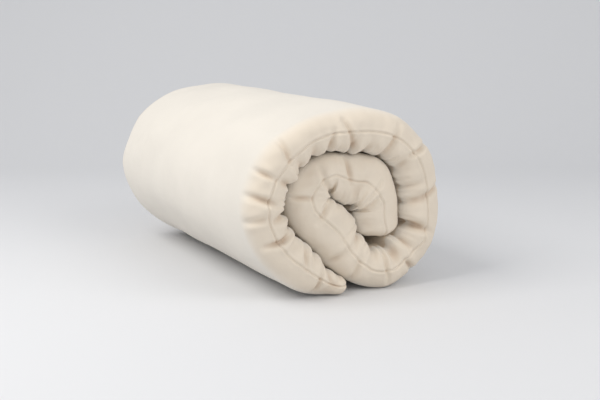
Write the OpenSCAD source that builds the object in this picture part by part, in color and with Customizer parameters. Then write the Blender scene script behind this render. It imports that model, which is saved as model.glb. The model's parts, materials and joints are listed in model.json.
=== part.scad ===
// A cotton futon mattress rolled up on the floor, in millimetres.
// X runs across the roll, Y along the roll (the end that shows the spiral is at -Y) and Z is up.
// The roll is one long pad. It starts at the free end, which lies flat on the floor, climbs the
// left side, goes over the top, comes down the right side and ends in a folded core.
// The pad is divided into sections that hinge on each other along the outer face, as it unrolls.

/* [Mattress] */
// Width of the mattress, which is the length of the roll
mattress_w = 900; // [600:10:1500]
// Thickness of the filled pad
pad_t = 101; // [70:1:130]
// Thickness of the pad at the free end, where it tapers to a blunt tip
tip_t = 32; // [25:1:40]
// Straight stretch over the top of the roll, which makes the roll wider and the mattress longer
top_flat = 22; // [5:1:60]

/* [Cover] */
// Thickness of the cotton cover cloth
cloth_t = 2; // [1:0.5:3]
// Width of the seam that joins the two panels halfway up each side
seam_w = 5; // [3:0.5:8]
// How far the seam stands out from the side wall
seam_out = 1; // [0.5:0.5:2]

/* [Fits] */
// Clearance between neighbouring pieces
gap = 0.3; // [0.2:0.05:0.5]

/* [Hidden] */
sections = 8;
bend = 130 / 3; // change of heading over one section
u = pad_t / 101; // every radius and length below follows the pad's thickness
arm = 95.2 * u + 1.2 * (top_flat - 22); // the lower arm of the core
over = 71.9 * u + top_flat - 22; // the upper arm of the core

// Each body is a list of stretches: [radius of the outer face, degrees turned], or [0, length] if straight.
body_path = [
  [[0, 30 * u], [237 * u, bend / 2]],
  [[285 * u, bend]],
  [[180 * u, bend]],
  [[227 * u, bend]],
  [[355 * u, bend / 2], [0, top_flat], [355 * u, bend / 2]],
  [[221 * u, bend]],
  [[285 * u, bend]],
  [[190.9 * u, 54.4]],
  [[170.3 * u, 57.3]],
  [[293.2 * u, 24], [0, arm], [pad_t + 4, 132.2], [0, over], [144.5 * u, 75.8], [0, 62.8 * u]]
];
taper_len = 204 * u; // the free end reaches full thickness after this length
start_x = 1.6 * u;

// A state is [x, z, heading, length so far] on the outer face. The pad lies to the right of the heading.
function go(s, seg, t) =
  seg[0] == 0
    ? [s[0] + t * seg[1] * cos(s[2]), s[1] + t * seg[1] * sin(s[2]), s[2], s[3] + t * seg[1]]
    : [s[0] + seg[0] * (sin(s[2]) - sin(s[2] - t * seg[1])),
       s[1] + seg[0] * (cos(s[2] - t * seg[1]) - cos(s[2])),
       s[2] - t * seg[1],
       s[3] + t * seg[1] * seg[0] * PI / 180];
function seg_len(seg) = seg[0] == 0 ? seg[1] : seg[0] * seg[1] * PI / 180;
function after(s, segs, i = 0) = i == len(segs) ? s : after(go(s, segs[i], 1), segs, i + 1);
function body_start(k) = k == 0 ? [start_x, 0, 180, 0] : after(body_start(k - 1), body_path[k - 1]);

// The points along one stretch, about every 6 degrees on a bend, with `lead` and `trail` left off its ends
function steps(seg) = seg[0] == 0 ? 1 : ceil(seg[1] / 6);
function along(s, seg, lead, trail) =
  let (n = steps(seg), a = lead / seg_len(seg), b = 1 - trail / seg_len(seg))
  [for (i = [0:n]) go(s, seg, a + (b - a) * i / n)];
function join_points(s, segs, lead, trail, i = 0) =
  i == len(segs) ? [] :
    concat(
      along(s, segs[i], i == 0 ? lead : 0.001, i == len(segs) - 1 ? trail : 0.001),
      join_points(go(s, segs[i], 1), segs, lead, trail, i + 1)
    );
function body_points(k, lead, trail) = join_points(body_start(k), body_path[k], lead, trail);

all_points = [for (k = [0:sections + 1]) each body_points(k, 0, 0)];
all_x = [for (p = all_points) p[0]];
all_z = [for (p = all_points) p[1]];
shift_x = -(max(all_x) + min(all_x)) / 2;
shift_z = -min(all_z);

function local_t(p) = tip_t + (pad_t - tip_t) * min(1, p[3] / taper_len);
// A point at depth `a + f * local thickness` below the outer face
function at_depth(p, a, f) =
  let (d = a + f * local_t(p)) [p[0] + d * sin(p[2]) + shift_x, p[1] - d * cos(p[2]) + shift_z];

module strip(points, a1, f1, a2, f2, wide, y = 0) {
  outline = concat(
    [for (p = points) at_depth(p, a1, f1)],
    [for (i = [len(points) - 1:-1:0]) at_depth(points[i], a2, f2)]
  );
  translate([0, y + wide / 2, 0])
    rotate([90, 0, 0])
      linear_extrude(wide)
        polygon(outline);
}

lead_in = gap / 2;
edge_y = mattress_w / 2;
half_seam = seam_w / 2;
last = sections + 1;

// The end walls are full-width strips one cloth thick, at the free end and at the core's end.
function start_wall(k) = [for (t = [0, cloth_t]) go(body_start(k), [0, 1], t)];
function end_state() = after(body_start(last), body_path[last]);
function end_wall() = [for (t = [-cloth_t, 0]) go(end_state(), [0, 1], t)];

// The panel under the pad: the outer face of the roll and the outer half of both side walls
module under_panel(k) {
  points = body_points(k, k == 0 ? 0 : lead_in, k == last ? 0 : lead_in);
  union() {
    strip(points, 0, 0, cloth_t, 0, mattress_w);
    for (side = [-1, 1])
      strip(points, 0, 0, -half_seam - gap, 0.5, cloth_t, side * (edge_y - cloth_t / 2));
    if (k == 0) strip(start_wall(0), 0, 0, -half_seam - gap, 0.5, mattress_w);
    if (k == last) strip(end_wall(), 0, 0, -half_seam - gap, 0.5, mattress_w);
  }
}

// The panel on top of the pad: the inner face of the roll and the inner half of both side walls
module top_panel(k) {
  points = body_points(k, k == 0 ? 0 : lead_in, k == last ? 0 : lead_in);
  union() {
    strip(points, -cloth_t, 1, 0, 1, mattress_w);
    for (side = [-1, 1])
      strip(points, half_seam + gap, 0.5, 0, 1, cloth_t, side * (edge_y - cloth_t / 2));
    if (k == 0) strip(start_wall(0), half_seam + gap, 0.5, 0, 1, mattress_w);
    if (k == last) strip(end_wall(), half_seam + gap, 0.5, 0, 1, mattress_w);
  }
}

// The cotton filling of one section
module batting(k) {
  inset = cloth_t + gap;
  points = body_points(k, k == 0 ? inset : lead_in, k == last ? inset : lead_in);
  strip(points, inset, 0, -inset, 1, mattress_w - 2 * inset);
}

// The sewn seam halfway up a side wall
module side_seam(k, side) {
  inset = cloth_t + gap;
  points = body_points(k, k == 0 ? inset : lead_in, k == last ? inset : lead_in);
  wide = cloth_t + seam_out;
  strip(points, -half_seam, 0.5, half_seam, 0.5, wide, side * (edge_y - cloth_t + wide / 2));
}

// The closing seams across the two short ends
module end_seam(wall) {
  strip(wall, -half_seam, 0.5, half_seam, 0.5, mattress_w);
}

cover_colour = [0.88, 0.84, 0.78];
seam_colour = [0.76, 0.69, 0.6];
batting_colour = [0.93, 0.91, 0.86];

NAMES = ["free_end", "turn_1", "turn_2", "turn_3", "turn_4", "turn_5", "turn_6", "turn_7", "turn_8", "core"];

for (k = [0:last]) {
  color(cover_colour) under_panel(k);
  color(cover_colour) top_panel(k);
  color(batting_colour) batting(k);
  color(seam_colour) side_seam(k, -1);
  color(seam_colour) side_seam(k, 1);
}
color(seam_colour) end_seam(start_wall(0));  // free_end_closing_seam
color(seam_colour) end_seam(end_wall());  // core_closing_seam
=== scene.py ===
import json
import math
import bpy
import numpy as np
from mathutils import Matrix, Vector


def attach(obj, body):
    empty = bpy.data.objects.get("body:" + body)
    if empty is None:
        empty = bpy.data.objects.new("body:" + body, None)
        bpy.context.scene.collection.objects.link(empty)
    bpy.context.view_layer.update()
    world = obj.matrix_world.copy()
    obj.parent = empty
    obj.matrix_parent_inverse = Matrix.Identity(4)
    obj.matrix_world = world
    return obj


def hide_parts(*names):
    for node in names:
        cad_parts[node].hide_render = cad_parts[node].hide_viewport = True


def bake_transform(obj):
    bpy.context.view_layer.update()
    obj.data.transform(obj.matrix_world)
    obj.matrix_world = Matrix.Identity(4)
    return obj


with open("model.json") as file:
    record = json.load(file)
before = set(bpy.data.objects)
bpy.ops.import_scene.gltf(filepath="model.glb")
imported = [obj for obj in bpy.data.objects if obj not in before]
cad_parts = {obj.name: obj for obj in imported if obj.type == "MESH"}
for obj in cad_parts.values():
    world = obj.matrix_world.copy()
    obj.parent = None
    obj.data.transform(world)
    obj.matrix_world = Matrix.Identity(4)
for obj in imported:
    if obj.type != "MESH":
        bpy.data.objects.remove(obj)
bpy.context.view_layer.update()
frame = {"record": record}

# A cotton futon mattress, rolled up. Lengths here are in metres.
# s runs along the outer face of the pad, from the free end under the roll to the end of the core.
# q runs through the pad's thickness, from 0 on the outer face to 1 on the inner face.

pad = {
    "width": 0.9,
    "thickness": 0.101,
    "tipThickness": 0.046,   # at the free end
    "taperLength": 0.2,      # over which the free end reaches full thickness
    "sideCrown": 0.05,       # how far the side walls bulge past the flat of the faces
    "sideRoundness": 2.15,   # 2 is a half ellipse, higher is boxier
    "endRound": 0.03,        # length over which the two short ends close
    "backSpread": 0.035,     # the far end of the roll is this share larger
    "coreRecess": 0.016,     # the core sits this far inside the outer turn's end
    "columnStep": 0.0027,    # spacing of the grid along s
}

# How far the turns swell towards each other: the gap they leave, and the least and most they move
swell = {
    "turnGap": 0.005, "turnLeast": -0.012, "turnMost": 0.011,
    "coreGap": 0.004, "coreMost": 0.016,
    "armShare": 0.56, "armGap": 0.005, "armMost": 0.07,
}

# Stretches of the outer face: radius in metres and degrees turned, or radius 0 and a length.
bend = 130 / 3
stretches = [
    [(0, 0.030), (0.237, bend / 2)],
    [(0.285, bend)],
    [(0.180, bend)],
    [(0.227, bend)],
    [(0.355, bend / 2), (0, 0.022), (0.355, bend / 2)],
    [(0.221, bend)],
    [(0.285, bend)],
    [(0.1909, 54.4)],
    [(0.1703, 57.3)],
    [(0.2932, 24), (0, 0.0952), (0.105, 132.2), (0, 0.0719), (0.1445, 75.8), (0, 0.0790)],
]
bodyNames = ["free_end"] + [f"turn_{k}" for k in range(1, 9)] + ["core"]
pieceNames = ["free_end_pad"] + [f"bend_{k}_pad" for k in range(1, 10)] + ["core_pad"]
startX = 0.0016

# Two sizes of gather on the side walls: deep folds, and fine ones between them near the inner edge
gathers = [
    {"spacing": 0.046, "depth": 0.021, "width": 0.0115, "reach": (0.12, 0.55), "seed": 4},
    {"spacing": 0.018, "depth": 0.0062, "width": 0.0052, "reach": (0.35, 0.8), "seed": 12},
]

# Deeper single creases across the front wall: how far apart, and the ranges each one is drawn from
creases = {
    "spacing": 0.105, "depth": (0.009, 0.016), "width": (0.007, 0.010),
    "reach": (0.45, 0.8), "lean": 0.035, "seed": 5,
}

# Fine wrinkles on the faces: y where each starts, s from and to, depth, width and lean
faceWrinkles = [
    (0.05, 0.30, 0.66, 0.0026, 0.0060, 0.010),
    (0.12, 0.34, 0.70, 0.0024, 0.0055, -0.006),
    (-0.27, 0.28, 0.62, 0.0020, 0.0060, 0.012),
    (-0.03, 0.36, 0.58, 0.0022, 0.0050, 0.008),
    (0.33, 0.30, 0.55, 0.0020, 0.0060, -0.010),
    (0.25, 0.35, 0.60, 0.0018, 0.0050, 0.006),
    (0.16, 0.40, 0.78, 0.0018, 0.0050, 0.014),
    (-0.15, 0.33, 0.60, 0.0016, 0.0060, -0.008),
    (-0.10, 1.05, 1.40, 0.0018, 0.0060, 0.010),
    (0.20, 1.00, 1.35, 0.0020, 0.0060, -0.012),
]

# Soft unevenness: its height and the size of its waves
uneven = {"side": (0.0030, 0.13), "sideFine": (0.0005, 0.045), "face": (0.0020, 0.22)}

seam = {"depth": 0.0030, "width": 0.0022, "lip": 0.0010, "lipPlace": 0.006, "lipWidth": 0.0035}


def smooth(t):
    t = np.clip(t, 0, 1)
    return t * t * (3 - 2 * t)


def lengthOf(stretch):
    radius, amount = stretch
    return amount if radius == 0 else radius * math.radians(amount)


# The start of every stretch as (s, x, z, heading), walking clockwise round the roll
def walkStarts():
    s, x, z, heading = 0.0, startX, 0.0, math.pi
    starts, bodyStarts = [], []
    for body in stretches:
        bodyStarts.append(s)
        for radius, amount in body:
            starts.append((s, x, z, heading, radius, amount))
            if radius == 0:
                x, z = x + amount * math.cos(heading), z + amount * math.sin(heading)
            else:
                turned = heading - math.radians(amount)
                x += radius * (math.sin(heading) - math.sin(turned))
                z += radius * (math.cos(turned) - math.cos(heading))
                heading = turned
            s += lengthOf((radius, amount))
    bodyStarts.append(s)
    return starts, bodyStarts


starts, bodyStarts = walkStarts()
totalLength = bodyStarts[-1]
coreStart = bodyStarts[9]


# Points, headings and curvatures of the outer face at each s
def outerFace(s):
    x, z, heading, curve = (np.zeros_like(s) for _ in range(4))
    for s0, x0, z0, h0, radius, amount in starts:
        on = s >= s0 - 1e-9
        d = s[on] - s0
        if radius == 0:
            x[on], z[on], heading[on], curve[on] = x0 + d * math.cos(h0), z0 + d * math.sin(h0), h0, 0
        else:
            h = h0 - d / radius
            x[on] = x0 + radius * (math.sin(h0) - np.sin(h))
            z[on] = z0 + radius * (np.cos(h) - math.cos(h0))
            heading[on], curve[on] = h, 1 / radius
    return x, z, heading, curve


# Columns of the grid: even spacing, closer at both ends, with one exactly on each cut between pieces
cuts = [0.5 * (bodyStarts[k] + bodyStarts[k + 1]) for k in range(9)] + [coreStart + 0.105]


def columnsAlong():
    ends = pad["endRound"]
    step = pad["columnStep"] * 1
    close = ends * (1 - np.cos(np.linspace(0, math.pi / 2, 14))[:-1])
    knots = [ends] + cuts + [totalLength - ends]
    middle = []
    for a, b in zip(knots[:-1], knots[1:]):
        middle.append(np.linspace(a, b, max(2, int(round((b - a) / step)) + 1))[:-1])
    return np.concatenate([close] + middle + [totalLength - close[::-1]])


columns = np.unique(np.round(columnsAlong(), 7))
cutIndex = [int(np.argmin(np.abs(columns - c))) for c in cuts]
faceX, faceZ, heading, curve = outerFace(columns)
inX, inZ = np.sin(heading), -np.cos(heading)  # the direction into the pad
faceX = faceX - (faceX.min() + faceX.max()) / 2
print("columns", len(columns))

# The pad's thickness grows along a smooth step that is already a little way up at the free end.
tipStep = 0.15
taper = smooth(tipStep + (1 - tipStep) * columns / pad["taperLength"])
thick = pad["tipThickness"] + (pad["thickness"] - pad["tipThickness"]) * taper


def runningMean(values, count):
    padded = np.pad(values, count, mode="edge")
    kernel = np.hanning(2 * count + 1)
    return np.convolve(padded, kernel / kernel.sum(), mode="valid")


# The turns swell towards each other until they nearly touch, as far as the filling lets them.
def clearTo(points, others):
    d = np.hypot(points[:, None, 0] - others[None, :, 0], points[:, None, 1] - others[None, :, 1])
    return d.min(axis=1)


isCore = columns >= coreStart
inner = np.stack([faceX + inX * thick, faceZ + inZ * thick], 1)
outer = np.stack([faceX, faceZ], 1)
swellIn = np.zeros_like(columns)
swellOut = np.zeros_like(columns)
turnPart = columns < bodyStarts[8]
turnRoom = clearTo(inner[turnPart], outer[isCore]) - swell["turnGap"]
swellIn[turnPart] = np.clip(turnRoom, swell["turnLeast"], swell["turnMost"])
swellIn = runningMean(swellIn, 12)
inner = inner + np.stack([inX, inZ], 1) * swellIn[:, None]
corePart = columns > coreStart + 0.06
coreRoom = clearTo(outer[corePart], inner[turnPart]) - swell["coreGap"]
swellOut[corePart] = np.clip(coreRoom, 0, swell["coreMost"])
swellOut = runningMean(swellOut, 14)
faceX, faceZ = faceX - inX * swellOut, faceZ - inZ * swellOut

# Inside the core the arms fill out until they meet.
arms = columns > coreStart - 0.03
armAt, armInner = columns[arms], inner[arms]
apart = np.hypot(armInner[:, None, 0] - armInner[None, :, 0], armInner[:, None, 1] - armInner[None, :, 1])
apart[np.abs(armAt[:, None] - armAt[None, :]) < 0.16] = 1
room = np.where(curve > 0, 1 / np.maximum(curve, 1e-6) - thick - swell["armGap"], 1)
swellCore = np.zeros_like(columns)
armRoom = np.minimum(apart.min(axis=1) * swell["armShare"], room[arms])
swellCore[arms] = np.clip(armRoom, 0, swell["armMost"])
swellCore = runningMean(swellCore, 9)
thick = thick + swellIn + swellOut + swellCore
print("swell", float(swellIn.max()), float(swellOut.max()))

# How far each short end has closed: 0 at the very end, 1 where the section is full
endShare = np.minimum(columns, totalLength - columns) / pad["endRound"]
closing = np.sqrt(np.clip(1 - (1 - np.clip(endShare, 0, 1)) ** 2, 0.02, 1))

# The section's loop. Outer face from back to front, front side wall, inner face, back side wall.
sideCount, faceCount = ((64, 96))
u = np.linspace(-1, 1, sideCount + 1)
phi = math.pi / 2 * (1 + u * (0.5 + 0.5 * np.abs(u) ** 1.3))
power = 2 / pad["sideRoundness"]
sideQ = 0.5 * (1 - np.sign(np.cos(phi)) * np.abs(np.cos(phi)) ** power)
sideOut = np.abs(np.sin(phi)) ** power
faceU = np.linspace(-1, 1, faceCount + 1)
faceU = np.sign(faceU) * (1 - (1 - np.abs(faceU)) ** 1.25)


# Values round the loop: 0 on the outer face, those given up the front wall, a constant, and back down
def roundLoop(sideValues, innerValue=0.0):
    inner = np.full(faceCount, innerValue)
    return np.concatenate([np.zeros(faceCount), sideValues[:-1], inner, sideValues[::-1][:-1]])


loopQ = roundLoop(sideQ, 1.0)
loopY = np.concatenate([-faceU[:-1], -np.ones(sideCount), faceU[:-1], np.ones(sideCount)])
loopOut = roundLoop(sideOut)
loopOut[np.isclose(loopOut, 0, atol=1e-6)] = 0
nLoop = len(loopQ)
frontSide = slice(faceCount, faceCount + sideCount)
backSide = slice(2 * faceCount + sideCount, nLoop)
onFront = np.zeros(nLoop, bool)
onFront[frontSide] = True
onBack = np.zeros(nLoop, bool)
onBack[backSide] = True
onInner = np.zeros(nLoop, bool)
onInner[faceCount + sideCount:2 * faceCount + sideCount + 1] = True


# The plain pad before any creases: points on a grid of columns by loop places
def padPoints():
    half = pad["width"] / 2
    recess = pad["coreRecess"] * smooth((columns - coreStart + 0.12) / 0.3)
    crown = pad["sideCrown"] * closing
    wide = half - pad["sideCrown"] - 0.02 * (1 - closing) - recess
    depth = thick[:, None] * (0.5 + (loopQ[None, :] - 0.5) * closing[:, None])
    y = loopY[None, :] * wide[:, None] + np.sign(loopY)[None, :] * crown[:, None] * loopOut[None, :]
    x = faceX[:, None] + inX[:, None] * depth
    z = faceZ[:, None] + inZ[:, None] * depth
    return np.stack([x, y, z], 2)


# Unit normals of the grid, from the cross product of its two directions
def gridNormals(p):
    along = np.gradient(p, axis=0)
    around = np.roll(p, -1, axis=1) - np.roll(p, 1, axis=1)
    n = np.cross(around, along)
    n /= np.linalg.norm(n, axis=2, keepdims=True) + 1e-12
    return n


points = padPoints()
normals = gridNormals(points)
middle = len(columns) // 3
outward = normals[middle, faceCount // 2] @ np.array([-inX[middle], 0, -inZ[middle]])
flip = outward < 0
if flip:
    normals = -normals
print("flip", bool(flip))

sGrid = np.repeat(columns[:, None], nLoop, 1)
qGrid = np.repeat(loopQ[None, :], len(columns), 0)
# Length at depth q over length on the outer face
stretch = np.clip(1 - qGrid * thick[:, None] * curve[:, None], 0.04, 1)


# A crease with a narrow groove and a low ridge each side, for a distance in metres
def groove(distance, width):
    d = distance / width
    return -np.exp(-d * d) + 0.34 * np.exp(-(d / 2.6) ** 2)


# Gathers on a side wall: the inner edge is shorter than the outer one, so the cloth there bunches up.
def gatherField(kind, seed):
    rng = np.random.default_rng(kind["seed"] + seed)
    field = np.zeros_like(qGrid)
    innerStep = np.gradient(columns) * np.clip(1 - thick * curve, 0.15, 1)
    innerLength = np.cumsum(innerStep)
    place = 0.02
    while place < innerLength[-1]:
        s0 = np.interp(place, innerLength, columns)
        k = np.interp(s0, columns, thick * curve)
        strength = np.clip(k * 1.8, 0.25, 1) * rng.uniform(0.4, 1.15)
        reach = rng.uniform(*kind["reach"])
        slant = rng.normal(0, 0.022)
        sway = rng.normal(0, 0.007)
        width = kind["width"] * rng.uniform(0.75, 1.4)
        across = (sGrid - s0 - slant * (1 - qGrid) - sway * np.sin(3.1 * qGrid)) * stretch
        along = smooth((qGrid - reach) / (1.0 - reach)) ** 0.7
        field += kind["depth"] * strength * along * groove(across, width * (0.8 + 0.9 * (1 - qGrid)))
        place += kind["spacing"] * rng.uniform(0.55, 1.5)
    return field


# One crease on the front wall that follows a line of points in the plane of the end.
# It only marks the turn that it starts on, so a neighbouring turn across a gap stays smooth.
def creaseField(line, depth, width):
    px, pz = points[:, frontSide, 0], points[:, frontSide, 2]
    start = np.argmin(np.hypot(px - line[0][0], pz - line[0][1]))
    near = np.abs(columns - columns[start // px.shape[1]]) < 0.28
    best = np.full(px.shape, 1e3)
    share = np.zeros(px.shape)
    total = len(line) - 1
    for i, ((ax, az), (bx, bz)) in enumerate(zip(line[:-1], line[1:])):
        dx, dz = bx - ax, bz - az
        t = np.clip(((px - ax) * dx + (pz - az) * dz) / (dx * dx + dz * dz), 0, 1)
        d = np.hypot(px - ax - t * dx, pz - az - t * dz)
        closer = d < best
        best[closer] = d[closer]
        share[closer] = (i + t[closer]) / total
    fade = 0.25 + 0.75 * np.sin(math.pi * np.clip(share * 0.9 + 0.05, 0, 1))
    mark = depth * fade * groove(best, width)
    return mark * near[:, None]


# Lines of points (x, z) for the creases, each from one face of the pad part of the way to the other
def creaseLines():
    rng = np.random.default_rng(creases["seed"])
    s = creases["spacing"]
    while s < totalLength - creases["spacing"]:
        fromInner = rng.random() < 0.6
        reach, lean = rng.uniform(*creases["reach"]), rng.uniform(-1, 1) * creases["lean"]
        line = []
        for share in (0, 0.5, 1):
            i = np.argmin(np.abs(columns - s - lean * share ** 1.5))
            q = 1 - reach * share if fromInner else reach * share
            line.append((faceX[i] + inX[i] * thick[i] * q, faceZ[i] + inZ[i] * thick[i] * q))
        yield line, rng.uniform(*creases["depth"]), rng.uniform(*creases["width"])
        s += creases["spacing"] * rng.uniform(0.6, 1.4)


# Soft unevenness from a few sine waves with random directions, about 1 high
def softNoise(a, b, waves, seed, count=9):
    rng = np.random.default_rng(seed)
    total = np.zeros_like(a)
    for _ in range(count):
        angle, phase = rng.uniform(0, 2 * math.pi, 2)
        k = 2 * math.pi / (waves * rng.uniform(0.6, 1.6))
        total += np.sin(k * (math.cos(angle) * a + math.sin(angle) * b) + phase)
    return total / math.sqrt(count)


sideMask = smooth(roundLoop(sideOut) / 0.8)[None, :]
front = onFront[None, :] * 1.0
back = onBack[None, :] * 1.0
relief = np.zeros_like(qGrid)
frontGathers = sum(gatherField(kind, 0) for kind in gathers)
backGathers = sum(gatherField(kind, 40) for kind in gathers)
# the gathers carry on round the inner edge a little way onto the inner face
edgeFade = np.exp(-((1 - np.abs(loopY)) * pad["width"] / 2 / 0.03) ** 2)[None, :]
onIn = onInner[None, :] * edgeFade
frontHalf = (loopY < 0)[None, :] * 1.0
relief += (front + onIn * frontHalf) * frontGathers + (back + onIn * (1 - frontHalf)) * backGathers
for line, depth, width in creaseLines():
    relief[:, frontSide] += creaseField(line, depth, width) * smooth(sideOut[:-1] * 1.6)[None, :]
height = qGrid * thick[:, None]
for (amount, waves), seed in ((uneven["side"], 21), (uneven["sideFine"], 22)):
    relief += amount * sideMask * softNoise(sGrid, height, waves, seed)

# The seam halfway up each side wall: a fine groove between two low lips
fromSeam = (qGrid - 0.5) * thick[:, None] * closing[:, None]
seamLine = -seam["depth"] * np.exp(-(fromSeam / seam["width"]) ** 2)
seamLine += seam["lip"] * np.exp(-((np.abs(fromSeam) - seam["lipPlace"]) / seam["lipWidth"]) ** 2)
relief += (front + back) * seamLine

# The faces: slow unevenness and a few fine wrinkles that run round the roll
yGrid = points[:, :, 1]
faceMask = 1 - sideMask
relief += uneven["face"][0] * faceMask * softNoise(sGrid, yGrid, uneven["face"][1], 31)


# A groove along s that bows to one side and fades at both ends
def wrinkle(y0, s0, s1, depth, width, lean):
    t = (sGrid - s0) / (s1 - s0)
    bow = 0.012 * np.sin(math.pi * np.clip(t, 0, 1))
    along = smooth(t * 4) * smooth((1 - t) * 4)
    return depth * along * groove(yGrid - y0 - lean * t - bow, width)


for place in faceWrinkles:
    relief += faceMask * wrinkle(*place)

points = points + normals * relief[:, :, None]
spread = 1 + pad["backSpread"] * (points[:, :, 1] / pad["width"] + 0.5)
points[:, :, 0] *= spread
points[:, :, 2] *= spread
points[:, :, 2] = np.maximum(points[:, :, 2], 0.0002)  # nothing dips under the floor
normals = gridNormals(points)
if flip:
    normals = -normals
print("grid", points.shape)

# Shares for the material: 1 on the side walls and the inner face, whose darker tone is partly the cloth's
# own and partly painted shade, and how deep a place lies in a crease, which sets the painted shade there
# The side tone also covers the inner face, the same cloth as the outer face, as painted shade where it shows
# in the gaps between turns
sideAndShadeShare = np.maximum(smooth(roundLoop(sideOut) * 1.15), onInner * 1.0)
sideAndShadeShare = np.repeat(sideAndShadeShare[None, :], len(columns), 0)
# Painted shade: the deeper a place lies in a crease on the side walls or inner face, the more brown
# darkening it gets
creaseShadeShare = np.clip((-relief - 0.003) / 0.009, 0, 1) * sideAndShadeShare


def nodeTree(material):
    material.use_nodes = True
    tree = material.node_tree
    tree.nodes.clear()
    return tree


def linkNodes(tree, pairs):
    for a, b in pairs:
        tree.links.new(a, b)


cover = {
    "roughness": 0.92, "specular": 0.12, "sheen": 0.12, "sheenRoughness": 0.5,
    "faceColour": (0.78, 0.735, 0.665, 1),
    # The side colour is partly the cloth's own warmer tone and partly painted shade: the side walls are made
    # darker than the faces because of how light falls
    "sideColourAndShade": (0.77, 0.68, 0.565, 1),
    # The crease colour and its amount are painted shade: a brown darkening laid into the creases, where
    # shade falls
    "creaseShadeColour": (0.50, 0.36, 0.25, 1), "creaseShadeAmount": 0.55,
    "mottle": {"scale": 7, "detail": 5, "dark": 0.94, "light": 1.05},
    "weave": {"scale": 420, "detail": 3, "strength": 0.25, "height": 0.0008},
    "slub": {"scale": 60, "detail": 6, "strength": 0.3, "height": 0.002},
}


def attributeNode(nodes, name):
    node = nodes.new("ShaderNodeAttribute")
    node.attribute_name = name
    return node


def colourMix(nodes, blend="MIX"):
    node = nodes.new("ShaderNodeMix")
    node.data_type = "RGBA"
    node.blend_type = blend
    return node


def noiseNode(nodes, kind):
    node = nodes.new("ShaderNodeTexNoise")
    node.inputs["Scale"].default_value = kind["scale"]
    node.inputs["Detail"].default_value = kind["detail"]
    return node


def bumpNode(nodes, kind):
    node = nodes.new("ShaderNodeBump")
    node.inputs["Strength"].default_value = kind["strength"]
    node.inputs["Distance"].default_value = kind["height"]
    return node


# Cotton: the side colour, partly painted shade, over the face colour, with painted shade darkening the
# creases, a faint mottle and two bumps
def clothMaterial():
    m = bpy.data.materials.new("cotton_cover")
    tree = nodeTree(m)
    n = tree.nodes
    out = n.new("ShaderNodeOutputMaterial")
    shader = n.new("ShaderNodeBsdfPrincipled")
    shader.inputs["Roughness"].default_value = cover["roughness"]
    shader.inputs["Specular IOR Level"].default_value = cover["specular"]
    shader.inputs["Sheen Weight"].default_value = cover["sheen"]
    shader.inputs["Sheen Roughness"].default_value = cover["sheenRoughness"]
    side = attributeNode(n, "sideAndShadeShare")
    crease = attributeNode(n, "creaseShadeShare")
    base = colourMix(n)
    base.inputs["A"].default_value = cover["faceColour"]
    base.inputs["B"].default_value = cover["sideColourAndShade"]
    # Painted shade: the crease colour is mixed over the base where the crease share is high
    deep = colourMix(n)
    deep.inputs["B"].default_value = cover["creaseShadeColour"]
    amount = n.new("ShaderNodeMath")
    amount.operation = "MULTIPLY"
    amount.inputs[1].default_value = cover["creaseShadeAmount"]
    shade = n.new("ShaderNodeMapRange")
    shade.inputs["To Min"].default_value = cover["mottle"]["dark"]
    shade.inputs["To Max"].default_value = cover["mottle"]["light"]
    tint = colourMix(n, "MULTIPLY")
    tint.inputs["Factor"].default_value = 1
    coords = n.new("ShaderNodeTexCoord")
    mottle, weave, slub = (noiseNode(n, cover[kind]) for kind in ("mottle", "weave", "slub"))
    weaveBump, slubBump = (bumpNode(n, cover[kind]) for kind in ("weave", "slub"))
    linkNodes(tree, [
        (side.outputs["Fac"], base.inputs["Factor"]),
        (base.outputs["Result"], deep.inputs["A"]),
        (crease.outputs["Fac"], amount.inputs[0]),
        (amount.outputs["Value"], deep.inputs["Factor"]),
        (coords.outputs["Object"], mottle.inputs["Vector"]),
        (coords.outputs["Object"], weave.inputs["Vector"]),
        (coords.outputs["Object"], slub.inputs["Vector"]),
        (mottle.outputs["Fac"], shade.inputs["Value"]),
        (deep.outputs["Result"], tint.inputs["A"]),
        (shade.outputs["Result"], tint.inputs["B"]),
        (tint.outputs["Result"], shader.inputs["Base Color"]),
        (weave.outputs["Fac"], weaveBump.inputs["Height"]),
        (slub.outputs["Fac"], slubBump.inputs["Height"]),
        (weaveBump.outputs["Normal"], slubBump.inputs["Normal"]),
        (slubBump.outputs["Normal"], shader.inputs["Normal"]),
        (shader.outputs["BSDF"], out.inputs["Surface"]),
    ])
    return m


cloth = clothMaterial()


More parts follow.
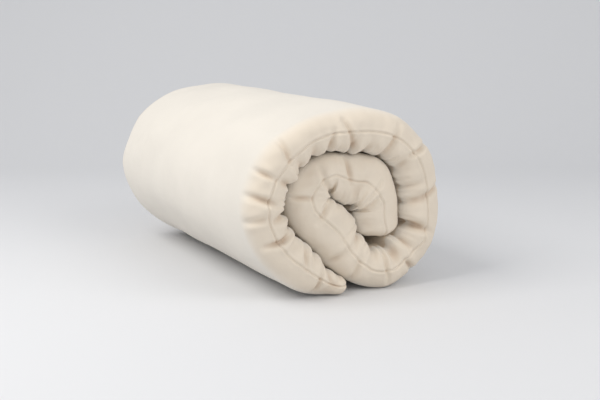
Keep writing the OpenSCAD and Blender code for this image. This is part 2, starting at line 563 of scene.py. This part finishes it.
# One closed piece from the columns a to b of the grid, capped at both ends
def padPiece(name, a, b):
    p, n = points[a:b + 1], normals[a:b + 1]
    rows, loop = p.shape[:2]
    i, j = np.meshgrid(np.arange(rows - 1), np.arange(loop), indexing="ij")
    k = (j + 1) % loop
    quads = np.stack([i * loop + j, i * loop + k, (i + 1) * loop + k, (i + 1) * loop + j], -1).reshape(-1, 4)
    if flip:
        quads = quads[:, ::-1]
    verts = p.reshape(-1, 3)
    vertNormals = n.reshape(-1, 3)
    first, final = np.arange(loop), (rows - 1) * loop + np.arange(loop)
    caps = [list(first), list(final[::-1])] if flip else [list(first[::-1]), list(final)]
    mesh = bpy.data.meshes.new(name)
    mesh.from_pydata(verts.tolist(), [], quads.tolist() + caps)
    mesh.update()
    smoothFaces = np.ones(len(mesh.polygons), bool)
    smoothFaces[-2:] = False
    mesh.polygons.foreach_set("use_smooth", smoothFaces)
    for label, values in (("sideAndShadeShare", sideAndShadeShare), ("creaseShadeShare", creaseShadeShare)):
        layer = mesh.attributes.new(label, "FLOAT", "POINT")
        layer.data.foreach_set("value", values[a:b + 1].ravel().astype(np.float32))
    corner = np.zeros(len(mesh.loops), np.int32)
    mesh.loops.foreach_get("vertex_index", corner)
    cornerNormals = vertNormals[corner]
    for cap in mesh.polygons[-2:]:
        cornerNormals[cap.loop_start:cap.loop_start + cap.loop_total] = cap.normal
    mesh.normals_split_custom_set(cornerNormals.tolist())
    mesh.materials.append(cloth)
    obj = bpy.data.objects.new(name, mesh)
    bpy.context.scene.collection.objects.link(obj)
    return obj


def nodesOf(body):
    return list(frame["record"]["behaviour"]["bodies"][body])


edges = [0] + cutIndex + [len(columns) - 1]


# A piece at one end of the pad, which moves with its body
def endPiece(k, body):
    obj = padPiece(pieceNames[k], edges[k], edges[k + 1])
    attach(obj, body)
    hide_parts(*nodesOf(body))
    return obj


# A piece between two bodies, which runs over the stretch from its one cut to the other
def bendPiece(k):
    obj = padPiece(pieceNames[k], edges[k], edges[k + 1])
    before, after = bodyNames[k - 1], bodyNames[k]
    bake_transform(obj)
    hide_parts(*nodesOf(after))
    return obj


pieces = [endPiece(0, "free_end")] + [bendPiece(k) for k in range(1, 10)] + [endPiece(10, "core")]
print("pieces", len(pieces))


# The camera stands at this azimuth, elevation and distance from its target.
view = {"azimuth": -29.2, "elevation": 10.96, "distance": 2.654, "target": (0.103, 0, 0.159), "lens": 54}


# The studio: one floor that sweeps up into the backdrop, two soft lights and a pale sky
studio = {
    "floorColour": (0.74, 0.745, 0.76, 1),
    "sweepRadius": 2.2, "farEdge": 1.6, "nearEdge": -9.0, "top": 7.0, "halfWidth": 14.0,
    "skyColour": (0.97, 0.98, 1, 1), "skyStrength": 0.64,
    "lights": [
        ("keyLight", (-2.2, -0.2, 2.6), (0, 0, 0.2), 1.7, 54, (1, 0.985, 0.955)),
        ("fillLight", (1.4, -3.4, 2.6), (0, 0, 0.25), 2.4, 44, (1, 0.98, 0.95)),
    ],
}


def floorMaterial():
    m = bpy.data.materials.new("studioFloor")
    tree = nodeTree(m)
    out = tree.nodes.new("ShaderNodeOutputMaterial")
    shader = tree.nodes.new("ShaderNodeBsdfPrincipled")
    shader.inputs["Base Color"].default_value = studio["floorColour"]
    shader.inputs["Roughness"].default_value = 0.95
    shader.inputs["Specular IOR Level"].default_value = 0.1
    tree.links.new(shader.outputs["BSDF"], out.inputs["Surface"])
    return m


# One sheet: the floor runs back, turns up through a quarter circle and carries on as the wall
def studioFloor():
    radius, farEdge, half = studio["sweepRadius"], studio["farEdge"], studio["halfWidth"]
    turn = np.linspace(0, math.pi / 2, 40)
    py = np.concatenate([[studio["nearEdge"]], farEdge + radius * np.sin(turn), [farEdge + radius]])
    pz = np.concatenate([[0], radius * (1 - np.cos(turn)), [studio["top"]]])
    count = len(py)
    c, d = math.cos(math.radians(view["azimuth"])), math.sin(math.radians(view["azimuth"]))
    verts = [(w * c - y * d, w * d + y * c, z) for w in (-half, half) for y, z in zip(py, pz)]
    quads = [(i, i + count, i + count + 1, i + 1) for i in range(count - 1)]
    mesh = bpy.data.meshes.new("studioFloor")
    mesh.from_pydata(verts, [], quads)
    for face in mesh.polygons:
        face.use_smooth = True
    mesh.materials.append(floorMaterial())
    floor = bpy.data.objects.new("studioFloor", mesh)
    bpy.context.scene.collection.objects.link(floor)
    return floor


def areaLight(name, place, aim, size, watts, colour):
    data = bpy.data.lights.new(name, "AREA")
    data.size, data.energy, data.color = size, watts, colour
    lamp = bpy.data.objects.new(name, data)
    lamp.location = place
    lamp.rotation_euler = (Vector(aim) - Vector(place)).to_track_quat("-Z", "Y").to_euler()
    bpy.context.scene.collection.objects.link(lamp)
    return lamp


def studioSky():
    world = bpy.data.worlds.new("studioWorld")
    world.use_nodes = True
    background = world.node_tree.nodes["Background"]
    background.inputs["Color"].default_value = studio["skyColour"]
    background.inputs["Strength"].default_value = studio["skyStrength"]
    bpy.context.scene.world = world


def placeCamera():
    az, el = math.radians(view["azimuth"]), math.radians(view["elevation"])
    data = bpy.data.cameras.new("camera")
    data.lens = view["lens"]
    camera = bpy.data.objects.new("camera", data)
    away = Vector((math.sin(az) * math.cos(el), -math.cos(az) * math.cos(el), math.sin(el)))
    camera.location = Vector(view["target"]) + away * view["distance"]
    camera.rotation_euler = away.to_track_quat("Z", "Y").to_euler()
    bpy.context.scene.collection.objects.link(camera)
    bpy.context.scene.camera = camera


studioFloor()
[areaLight(*light) for light in studio["lights"]]
studioSky()
placeCamera()
bpy.context.scene.view_settings.view_transform = "Standard"
